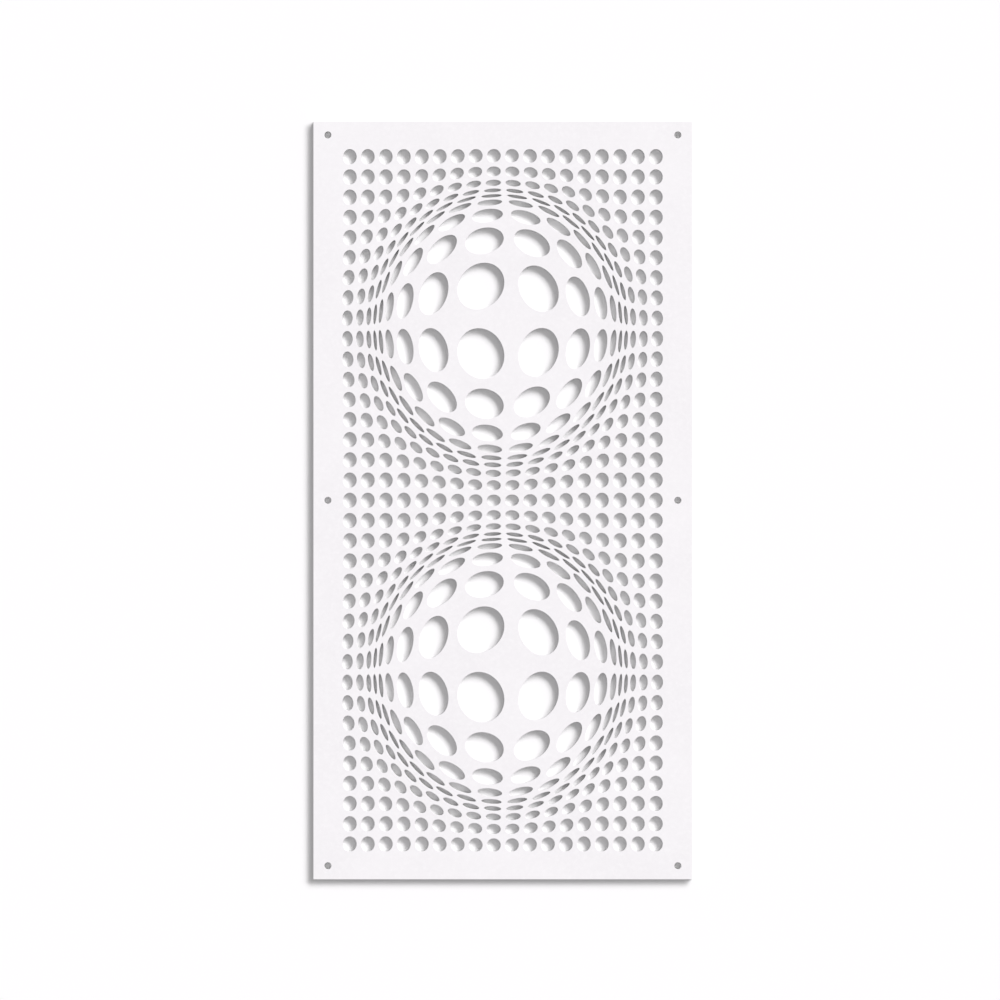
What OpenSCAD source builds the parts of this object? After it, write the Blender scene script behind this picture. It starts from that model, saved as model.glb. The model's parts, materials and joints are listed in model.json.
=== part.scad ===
// Perforated screen panel: one flat PVC sheet with a grid of holes cut right through it.
// Domes swell the grid: its holes grow large in the middle of a dome and thin at its rim.
// Millimetres, +Z up. The sheet lies flat with its back on Z = 0 and its length along Y.
// Its middle is on X = 0 and Y = 0.

/* [Sheet] */
// Width of the sheet, along the rows of holes
sheet_w = 600; // [400:10:1200]
// Length of the sheet, along the columns of holes
sheet_l = 1200; // [800:10:2400]
// Thickness of the sheet
sheet_t = 10; // [3:1:20]

/* [Fixing holes] */
// Diameter of a fixing hole
fix_d = 11; // [4:0.5:14]
// Middle of a fixing hole from the long side next to it
fix_side = 23; // [12:0.5:30]
// Middle of an outer fixing hole from the end next to it
fix_end = 21.5; // [12:0.5:30]
// Fixing holes along each long side
fix_count = 3; // [2:1:6]

/* [Grid of holes] */
// Width of a plain hole, one that no dome reaches
hole_w = 21.5; // [18:0.5:28]
// Length of a plain hole, along the sheet's length
hole_l = 24; // [18:0.5:30]
// Bar between two plain holes of a row
bar = 7; // [3:0.25:9]
// Bar between two plain holes of a column
row_bar = 8; // [4:0.5:16]
// Narrowest solid border between the grid and the sheet's edges
border = 42; // [38:1:120]

/* [Domes] */
// Domes along the length of the grid
dome_count = 2; // [1:1:4]
// Middle of a dome from the middle of the grid, along X
dome_x = -5.5; // [-12:0.5:12]
// Point that a dome swells away from, along Y from its middle
eye_y = -6; // [-12:0.5:12]
// Reach of a dome past half the width of the grid
dome_side = 47; // [0:1:80]
// Reach of a dome past half the length of its own share of the grid
dome_end = 41; // [0:1:80]
// Pitch that a column is squeezed to at the tightest part of a dome's rim
rim_pitch = 8.5; // [8:0.25:24]
// Least bar, the one that would be left between two holes squeezed to nothing
bar_min = 2; // [0.5:0.25:4]
// Narrowest slot that the cutter can make
slot_min = 3; // [2:0.25:4]

/* [Hidden] */
$fn = 48;

// Plain grid: as many columns and rows as fit inside the border
pitch_x = hole_w + bar;
pitch_y = hole_l + row_bar;
columns = floor((sheet_w - 2 * border - hole_w) / pitch_x) + 1;
rows = floor((sheet_l - 2 * border - hole_l) / pitch_y) + 1;
grid_w = (columns - 1) * pitch_x;
grid_l = (rows - 1) * pitch_y;

// Domes: each has an equal share of the grid's length and reaches a little past it
share_l = grid_l / dome_count;
dome_rx = grid_w / 2 + dome_side;
dome_ry = share_l / 2 + dome_end;

// Growth in the middle of a dome. It fades as a cube, so the rim is squeezed by a quarter of it at most
swell = 4 * (1 - rim_pitch / pitch_x);

// Fixing holes: where they stand
fix_x = sheet_w / 2 - fix_side;
fix_y = sheet_l / 2 - fix_end;
fix_pitch = 2 * fix_y / (fix_count - 1);

// Sum of a list of numbers, vectors or matrices
function total(list, i = 0) = i == len(list) - 1 ? list[i] : list[i] + total(list, i + 1);

// Point p as seen from the middle of dome i
function from_dome(p, i) = p - [dome_x, (i - (dome_count - 1) / 2) * share_l];

// Point p as seen from the point that dome i swells away from
function from_eye(p, i) = from_dome(p, i) - [0, eye_y];

// Distance of point p from the middle of dome i, as a share of the dome's reach
function distance(p, i) =
    let (d = from_dome(p, i))
    max(norm([d.x / dome_rx, d.y / dome_ry]), 0.000001);

// Part of the growth that is left at distance r, and how fast it fades there
function fade(r) = pow(max(1 - r, 0), 3);
function fade_rate(r) = -3 * pow(max(1 - r, 0), 2);

// How the growth of dome i fades along X and along Y at point p
function slope(p, i) =
    let (d = from_dome(p, i), r = distance(p, i))
    fade_rate(r) / r * [d.x / pow(dome_rx, 2), d.y / pow(dome_ry, 2)];

// Where the domes push point p of the plain grid
function pushed(p) =
    p + swell * total([for (i = [0 : dome_count - 1]) fade(distance(p, i)) * from_eye(p, i)]);

// How the domes stretch the plain grid around point p, as the two rows of a matrix
function stretch(p) =
    [[1, 0], [0, 1]] + swell * total([
        for (i = [0 : dome_count - 1])
            let (f = fade(distance(p, i)), v = from_eye(p, i), s = slope(p, i))
            [[f + v.x * s.x, v.x * s.y], [v.y * s.x, f + v.y * s.y]]
    ]);

// Plain hole stretched at point p: its long axis, its short axis and its turn.
// The least bar is stretched with the hole and then taken off, so bars change less than holes
function oval(p) =
    let (
        m = stretch(p) * [[hole_w + bar_min, 0], [0, hole_l + bar_min]],
        xx = m[0] * m[0],
        xy = m[0] * m[1],
        yy = m[1] * m[1],
        half = (xx + yy) / 2,
        spread = norm([(xx - yy) / 2, xy])
    )
    [
        max(sqrt(half + spread) - bar_min, slot_min),
        max(sqrt(max(half - spread, 0)) - bar_min, slot_min),
        atan2(2 * xy, xx - yy) / 2
    ];

// One hole of the grid, from point p of the plain grid
module hole(p) {
    shape = oval(p);
    translate(pushed(p))
        rotate(shape[2])
            scale([shape[0], shape[1]])
                circle(d = 1);
}

// All the holes of the grid
module perforation() {
    for (column = [0 : columns - 1])
        for (row = [0 : rows - 1])
            hole([column * pitch_x - grid_w / 2, row * pitch_y - grid_l / 2]);
}

// The fixing holes along both long sides
module fixing_holes() {
    for (x = [-fix_x, fix_x])
        for (i = [0 : fix_count - 1])
            translate([x, i * fix_pitch - fix_y])
                circle(d = fix_d);
}

// The sheet with everything cut through it
module panel() {
    color([0.97, 0.96, 0.97])
        linear_extrude(height = sheet_t)
            difference() {
                square([sheet_w, sheet_l], center = true);
                perforation();
                fixing_holes();
            }
}

panel();
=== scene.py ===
import json
import math

import bpy
import numpy as np
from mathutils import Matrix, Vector, geometry


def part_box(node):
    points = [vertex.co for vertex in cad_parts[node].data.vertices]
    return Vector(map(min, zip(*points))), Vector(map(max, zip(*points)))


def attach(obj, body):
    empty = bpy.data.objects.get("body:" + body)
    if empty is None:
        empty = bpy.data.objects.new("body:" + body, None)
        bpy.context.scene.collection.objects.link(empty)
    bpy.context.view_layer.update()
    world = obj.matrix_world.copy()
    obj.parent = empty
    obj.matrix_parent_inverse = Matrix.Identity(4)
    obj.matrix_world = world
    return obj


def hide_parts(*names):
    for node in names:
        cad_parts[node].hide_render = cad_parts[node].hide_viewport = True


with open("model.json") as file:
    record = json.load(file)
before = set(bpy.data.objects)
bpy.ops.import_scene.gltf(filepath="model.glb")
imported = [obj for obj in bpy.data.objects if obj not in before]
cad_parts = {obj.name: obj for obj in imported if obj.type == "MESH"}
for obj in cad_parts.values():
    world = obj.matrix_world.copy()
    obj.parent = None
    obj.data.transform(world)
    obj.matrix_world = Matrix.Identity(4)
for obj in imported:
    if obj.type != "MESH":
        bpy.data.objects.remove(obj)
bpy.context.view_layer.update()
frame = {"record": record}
scene = bpy.context.scene

MM_PER_M = 1000

# Sheet, in millimetres: the size of the CAD node, with the rounding of its file taken off
low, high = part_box("panel")
SHEET_W, SHEET_L, SHEET_T = np.round(np.subtract(high, low) * MM_PER_M, 3)

# Fixing holes, in millimetres: the record's bolt pattern, and how many stand along each long side
mounts = {mount["name"]: mount["dims"] for mount in frame["record"]["mounts"]}
fixings = mounts["corner_fixings"]
FIX_D = 2 * fixings["hole_r_mm"]
FIX_X = fixings["spacing_x_mm"] / 2
FIX_Y = fixings["spacing_y_mm"] / 2
FIX_COUNT = 3

# Grid of holes and the domes that swell it, in millimetres, as in the part's source
HOLE = np.array([21.5, 24.0])
BAR = 7.0
ROW_BAR = 8.0
BORDER = 42.0
DOMES = 2
DOME_X = -5.5
EYE_Y = -6.0
DOME_SIDE = 47.0
DOME_END = 41.0
RIM_PITCH = 8.5
BAR_MIN = 2.0
SLOT_MIN = 3.0

PITCH_X = HOLE[0] + BAR
PITCH_Y = HOLE[1] + ROW_BAR
COLUMNS = int((SHEET_W - 2 * BORDER - HOLE[0]) / PITCH_X) + 1
ROWS = int((SHEET_L - 2 * BORDER - HOLE[1]) / PITCH_Y) + 1
GRID_W = (COLUMNS - 1) * PITCH_X
GRID_L = (ROWS - 1) * PITCH_Y
SHARE_L = GRID_L / DOMES
DOME_R = np.array([GRID_W / 2 + DOME_SIDE, SHARE_L / 2 + DOME_END])

# Growth in the middle of a dome. It fades as a cube, so the rim is squeezed by a quarter of it at most
SWELL = 4 * (1 - RIM_PITCH / PITCH_X)

# Mesh, in millimetres: the flat that breaks a cut edge, and how far a corner is cut back
ARRIS = 0.3
CORNER_FLAT = 0.5

# Mesh: step in millimetres between points round a hole, and the fewest and most of them
POINT_STEP = 2.6
POINTS_MIN = 24
POINTS_MAX = 64

# Least distance that counts: nothing is divided by less, and points as close as this are one
TINY = 1e-6

# PVC: colour and roughness of the skin, which vary between two values, and of the core where it is cut
SKIN_DARK = (0.858, 0.832, 0.858, 1)
SKIN_LIGHT = (0.918, 0.894, 0.918, 1)
CORE = (0.80, 0.80, 0.80, 1)
SKIN_ROUGH = (0.44, 0.54)
CORE_ROUGH = 0.82
SPECULAR = 0.35

# PVC: strength of the relief on the skin and on the core, and its depth in metres
SKIN_RELIEF = 0.06
CORE_RELIEF = 0.35
RELIEF_DEPTH = 0.0003

# How upright a normal is: above the first it is a face's, below the second a cut wall's
FACE_UPRIGHT = 0.85
WALL_UPRIGHT = 0.45

# Light: what a white surface lying flat gets from the sky and from all the lamps
SKY = 0.405
LAMPS = 0.635

# Lamps, in radians: how far they lean from straight above, their turns round Z, and how wide they are
LAMP_TILT = math.radians(55.2)
LAMP_TURNS = [math.radians(a) for a in (25, 42, 59)]
LAMP_WIDTH = 0.36

# Backdrop: strength of the surroundings as they are seen, where 1 is white
BACKDROP = 1.0

# Floor, in metres: half its side, and its height just below the sheet
FLOOR_HALF = 40.0
FLOOR_Z = -0.0002

# Floor: as it is seen, and the dimmer grey that it bounces light with, so that no lit wall clips
FLOOR_SEEN = (0.97, 0.955, 0.97, 1)
FLOOR_BOUNCE = (0.45, 0.45, 0.45, 1)
FLOOR_ROUGH = 0.9

# Camera, in metres: straight down on the front face, where the photo's frame is 1.583 m wide
FRAME_W = 1.583
LOOK_AT = (-0.00443, 0.00063)
CLIP_END = 200.0

# Camera: its lens and sensor, in millimetres
LENS = 200.0
SENSOR = 36.0

# Numbers of a Mix node's two inputs and of its output, for each kind of value
MIX_SOCKETS = {"FLOAT": (2, 3, 0), "RGBA": (6, 7, 2)}


def swollen_holes():
    """Middle, axes and turn of every hole of the swollen grid."""
    x = np.arange(COLUMNS) * PITCH_X - GRID_W / 2
    y = np.arange(ROWS) * PITCH_Y - GRID_L / 2
    plain = np.array([(a, b) for a in x for b in y])
    pushed = plain.copy()
    stretch = np.tile(np.eye(2), (len(plain), 1, 1))
    for i in range(DOMES):
        from_dome = plain - (DOME_X, (i - (DOMES - 1) / 2) * SHARE_L)
        from_eye = from_dome - (0, EYE_Y)
        distance = np.maximum(np.hypot(*(from_dome / DOME_R).T), TINY)
        left = np.clip(1 - distance, 0, None)
        fade = left ** 3
        slope = (-3 * left ** 2 / distance)[:, None] * from_dome / DOME_R ** 2
        pushed += SWELL * fade[:, None] * from_eye
        growth = fade[:, None, None] * np.eye(2) + from_eye[:, :, None] * slope[:, None, :]
        stretch += SWELL * growth

    # The least bar is stretched with the hole and then taken off, so bars change less than holes
    turned, size, _ = np.linalg.svd(stretch * (HOLE + BAR_MIN))
    axes = np.maximum(size - BAR_MIN, SLOT_MIN)
    return pushed, axes, np.arctan2(turned[:, 1, 0], turned[:, 0, 0])


def ring(middle, axes, turn, out):
    """Points round an oval hole, moved out by a distance square to its edge."""
    a, b = axes / 2
    around = math.pi * (3 * (a + b) - math.sqrt((3 * a + b) * (a + 3 * b)))
    count = int(min(max(around / POINT_STEP, POINTS_MIN), POINTS_MAX))
    t = np.arange(count) * 2 * math.pi / count
    edge = np.c_[a * np.cos(t), b * np.sin(t)]
    square = np.c_[b * np.cos(t), a * np.sin(t)]
    edge += out * square / np.linalg.norm(square, axis=1)[:, None]
    c = math.cos(turn)
    s = math.sin(turn)
    return middle + edge @ np.array([[c, s], [-s, c]])


def outline(inset):
    """The sheet's corners, each with a small flat, drawn in from the edges by a distance."""
    x = SHEET_W / 2 - inset
    y = SHEET_L / 2 - inset
    f = CORNER_FLAT
    return np.array([
        (x, -y + f), (x, y - f), (x - f, y), (-x + f, y),
        (-x, y - f), (-x, -y + f), (-x + f, -y), (x - f, -y),
    ])


def edge_loops():
    """Two rings of points for each edge, on a face and in the wall: first the outline, then the holes."""
    holes = list(zip(*swollen_holes()))
    fix_axes = np.array([FIX_D, FIX_D])
    for x in (-FIX_X, FIX_X):
        for y in np.linspace(-FIX_Y, FIX_Y, FIX_COUNT):
            holes.append((np.array([x, y]), fix_axes, 0.0))

    # A hole runs the other way round, so that its walls face into it
    loops = [(outline(ARRIS), outline(0.0))]
    for hole in holes:
        loops.append((ring(*hole, ARRIS)[::-1], ring(*hole, 0.0)[::-1]))
    return loops


def face_triangles(points, edges, owner):
    """Triangles of a face, filled in between its loops, where owner is the number of each point's loop."""
    corners = [Vector(point) for point in points.tolist()]
    inside_only = 1
    made = geometry.delaunay_2d_cdt(corners, edges.tolist(), [], inside_only, TINY)
    _, _, faces, sources, _, _ = made
    first = np.array([ids[0] for ids in sources])
    triangles = first[np.array(faces)]

    # A triangle with all its corners on one hole lies in that hole, so it is left out
    of = owner[triangles]
    in_hole = (of[:, 0] > 0) & (of[:, 0] == of[:, 1]) & (of[:, 0] == of[:, 2])
    return triangles[~in_hole]


def sheet_mesh():
    """The sheet as one closed mesh: both faces, the walls of every hole, and broken edges."""
    loops = edge_loops()
    counts = [len(face) for face, wall in loops]
    owner = np.repeat(np.arange(len(loops)), counts)
    at_face = np.concatenate([face for face, wall in loops])
    in_wall = np.concatenate([wall for face, wall in loops])
    n = len(at_face)
    levels = ((at_face, 0.0), (in_wall, ARRIS), (in_wall, SHEET_T - ARRIS), (at_face, SHEET_T))
    points = np.concatenate([np.c_[xy, np.full(n, z)] for xy, z in levels]) / MM_PER_M

    # A point, the next one round its loop and the same two a level up make a piece of wall
    here = np.arange(n)
    ends = np.cumsum(counts)[:-1]
    after = np.concatenate([np.roll(loop, -1) for loop in np.split(here, ends)])
    wall = np.c_[here, after, after + n, here + n]
    steps = len(levels) - 1
    walls = np.concatenate([wall + i * n for i in range(steps)])

    flat = face_triangles(at_face, np.c_[here, after], owner)
    top = flat + steps * n
    bottom = flat[:, ::-1]
    mesh = bpy.data.meshes.new("sheet")
    mesh.from_pydata(points.tolist(), [], walls.tolist() + top.tolist() + bottom.tolist())

    # Only the walls of holes are round: the faces and the sheet's own sides are flat
    smooth = np.concatenate([np.tile(owner > 0, steps), np.zeros(2 * len(flat), bool)])
    mesh.polygons.foreach_set("use_smooth", smooth)

    # A wall stays sharp where it meets the flats that break its edges
    pairs = np.zeros(len(mesh.edges) * 2, np.int32)
    mesh.edges.foreach_get("vertices", pairs)
    a, b = (pairs.reshape(-1, 2) // n).T
    sharp = (a == b) & (a > 0) & (a < steps)
    mesh.attributes.new("sharp_edge", "BOOLEAN", "EDGE").data.foreach_set("value", sharp)
    mesh.update()
    return mesh


def new_material(name):
    """A new material, its node tree and its shader."""
    material = bpy.data.materials.new(name)
    material.use_nodes = True
    tree = material.node_tree
    return material, tree, tree.nodes["Principled BSDF"]


def add(tree, kind, **values):
    """A new shader node with some of its inputs or settings set."""
    made = tree.nodes.new(kind)
    for key, value in values.items():
        if key in made.inputs:
            made.inputs[key].default_value = value
        else:
            setattr(made, key, value)
    return made


def blend(tree, amount, a, b, kind="FLOAT"):
    """A socket that goes from a to b, each a value or a socket, with an amount."""
    made = add(tree, "ShaderNodeMix", data_type=kind)
    first, second, out = MIX_SOCKETS[kind]
    tree.links.new(amount, made.inputs[0])
    for socket, value in ((made.inputs[first], a), (made.inputs[second], b)):
        if isinstance(value, bpy.types.NodeSocket):
            tree.links.new(value, socket)
        else:
            socket.default_value = value
    return made.outputs[out]


def noise(tree, here, **values):
    """A socket with noise over the points of a socket."""
    made = add(tree, "ShaderNodeTexNoise", **values)
    tree.links.new(here, made.inputs["Vector"])
    return made.outputs["Fac"]


def seen(tree):
    """A socket that is 1 for what the camera sees, also in a gloss or through glass, and else 0."""
    path = add(tree, "ShaderNodeLightPath")
    ray = path.outputs["Is Camera Ray"]
    for name in ("Is Glossy Ray", "Is Transmission Ray"):
        both = add(tree, "ShaderNodeMath", operation="MAXIMUM")
        tree.links.new(ray, both.inputs[0])
        tree.links.new(path.outputs[name], both.inputs[1])
        ray = both.outputs[0]
    return ray


def cut_share(tree, normal):
    """A socket that is 0 on the faces, which point up or down, and 1 on cut walls, which point sideways."""
    axes = add(tree, "ShaderNodeSeparateXYZ")
    tree.links.new(normal, axes.inputs[0])
    upright = add(tree, "ShaderNodeMath", operation="ABSOLUTE")
    tree.links.new(axes.outputs["Z"], upright.inputs[0])
    share = add(tree, "ShaderNodeMapRange")
    share.inputs["From Min"].default_value = FACE_UPRIGHT
    share.inputs["From Max"].default_value = WALL_UPRIGHT
    tree.links.new(upright.outputs[0], share.inputs["Value"])
    return share.outputs["Result"]


def skin_tone(tree, here, fine):
    """Colour of the skin: slow changes over the sheet, with finer ones among them."""
    slow = noise(tree, here, Scale=6.0, Detail=4.0, Roughness=0.55)
    tone = add(tree, "ShaderNodeValToRGB")
    dark, light = tone.color_ramp.elements
    dark.position = 0.3
    dark.color = SKIN_DARK
    light.position = 0.7
    light.color = SKIN_LIGHT
    tree.links.new(blend(tree, fine, slow, fine), tone.inputs["Fac"])
    return tone.outputs["Color"]


def relief(tree, here, cut):
    """Normals: faint orange peel on the skin, pores and upright cutter marks on the cut walls."""
    peel = noise(tree, here, Scale=520.0, Detail=2.0, Roughness=0.5)
    upright = add(tree, "ShaderNodeMapping", Scale=(1.0, 1.0, 0.12))
    tree.links.new(here, upright.inputs["Vector"])
    marks = noise(tree, upright.outputs["Vector"], Scale=1500.0, Detail=2.0, Roughness=0.6)
    pores = add(tree, "ShaderNodeTexVoronoi", Scale=1700.0)
    tree.links.new(here, pores.inputs["Vector"])
    wall = blend(tree, pores.outputs["Distance"], marks, pores.outputs["Distance"])
    bump = add(tree, "ShaderNodeBump", Distance=RELIEF_DEPTH)
    tree.links.new(blend(tree, cut, peel, wall), bump.inputs["Height"])
    tree.links.new(blend(tree, cut, SKIN_RELIEF, CORE_RELIEF), bump.inputs["Strength"])
    return bump.outputs["Normal"]


def pvc():
    """White foamed PVC: a smooth satin skin, and a matt, finely porous core where it is cut."""
    material, tree, shader = new_material("white_pvc")
    place = add(tree, "ShaderNodeTexCoord")
    here = place.outputs["Object"]
    cut = cut_share(tree, place.outputs["Normal"])
    fine = noise(tree, here, Scale=160.0, Detail=3.0, Roughness=0.6)
    color = blend(tree, cut, skin_tone(tree, here, fine), CORE, "RGBA")
    rough = blend(tree, cut, blend(tree, fine, *SKIN_ROUGH), CORE_ROUGH)
    tree.links.new(color, shader.inputs["Base Color"])
    tree.links.new(rough, shader.inputs["Roughness"])
    tree.links.new(relief(tree, here, cut), shader.inputs["Normal"])
    shader.inputs["Specular IOR Level"].default_value = SPECULAR
    return material


def floor():
    """Plain white floor under the sheet, dimmer in the light that it bounces."""
    mesh = bpy.data.meshes.new("floor")
    corners = [(x * FLOOR_HALF, y * FLOOR_HALF, FLOOR_Z) for x, y in ((-1, -1), (1, -1), (1, 1), (-1, 1))]
    mesh.from_pydata(corners, [], [(0, 1, 2, 3)])
    made = bpy.data.objects.new("floor", mesh)
    scene.collection.objects.link(made)
    material, tree, shader = new_material("floor_white")
    color = blend(tree, seen(tree), FLOOR_BOUNCE, FLOOR_SEEN, "RGBA")
    tree.links.new(color, shader.inputs["Base Color"])
    shader.inputs["Roughness"].default_value = FLOOR_ROUGH
    shader.inputs["Specular IOR Level"].default_value = 0.0
    mesh.materials.append(material)


def studio():
    """Even white surroundings, dimmer as a light than as a backdrop, and a fan of wide soft lamps."""
    world = bpy.data.worlds.new("studio")
    scene.world = world
    world.use_nodes = True
    tree = world.node_tree
    sky = tree.nodes["Background"]
    tree.links.new(blend(tree, seen(tree), SKY, BACKDROP), sky.inputs["Strength"])
    sky.inputs["Color"].default_value = (1, 1, 1, 1)

    # All the lamps share one light, and each has an equal part of the strength
    lamp = bpy.data.lights.new("lamp", "SUN")
    lamp.energy = LAMPS / len(LAMP_TURNS) * math.pi / math.cos(LAMP_TILT)
    lamp.angle = LAMP_WIDTH
    flat = math.sin(LAMP_TILT)
    for turn in LAMP_TURNS:
        made = bpy.data.objects.new("lamp", lamp)
        down = Vector((-flat * math.cos(turn), -flat * math.sin(turn), -math.cos(LAMP_TILT)))
        made.rotation_euler = down.to_track_quat("-Z", "Y").to_euler()
        scene.collection.objects.link(made)


def camera():
    """Long lens straight above the sheet."""
    data = bpy.data.cameras.new("camera")
    data.lens = LENS
    data.sensor_width = SENSOR
    data.clip_end = CLIP_END
    made = bpy.data.objects.new("camera", data)
    made.location = (*LOOK_AT, SHEET_T / MM_PER_M + FRAME_W * LENS / SENSOR)
    scene.collection.objects.link(made)
    scene.camera = made


sheet = bpy.data.objects.new("sheet", sheet_mesh())
scene.collection.objects.link(sheet)
sheet.data.materials.append(pvc())
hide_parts("panel")
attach(sheet, "root")
floor()
studio()
camera()
scene.view_settings.view_transform = "Standard"
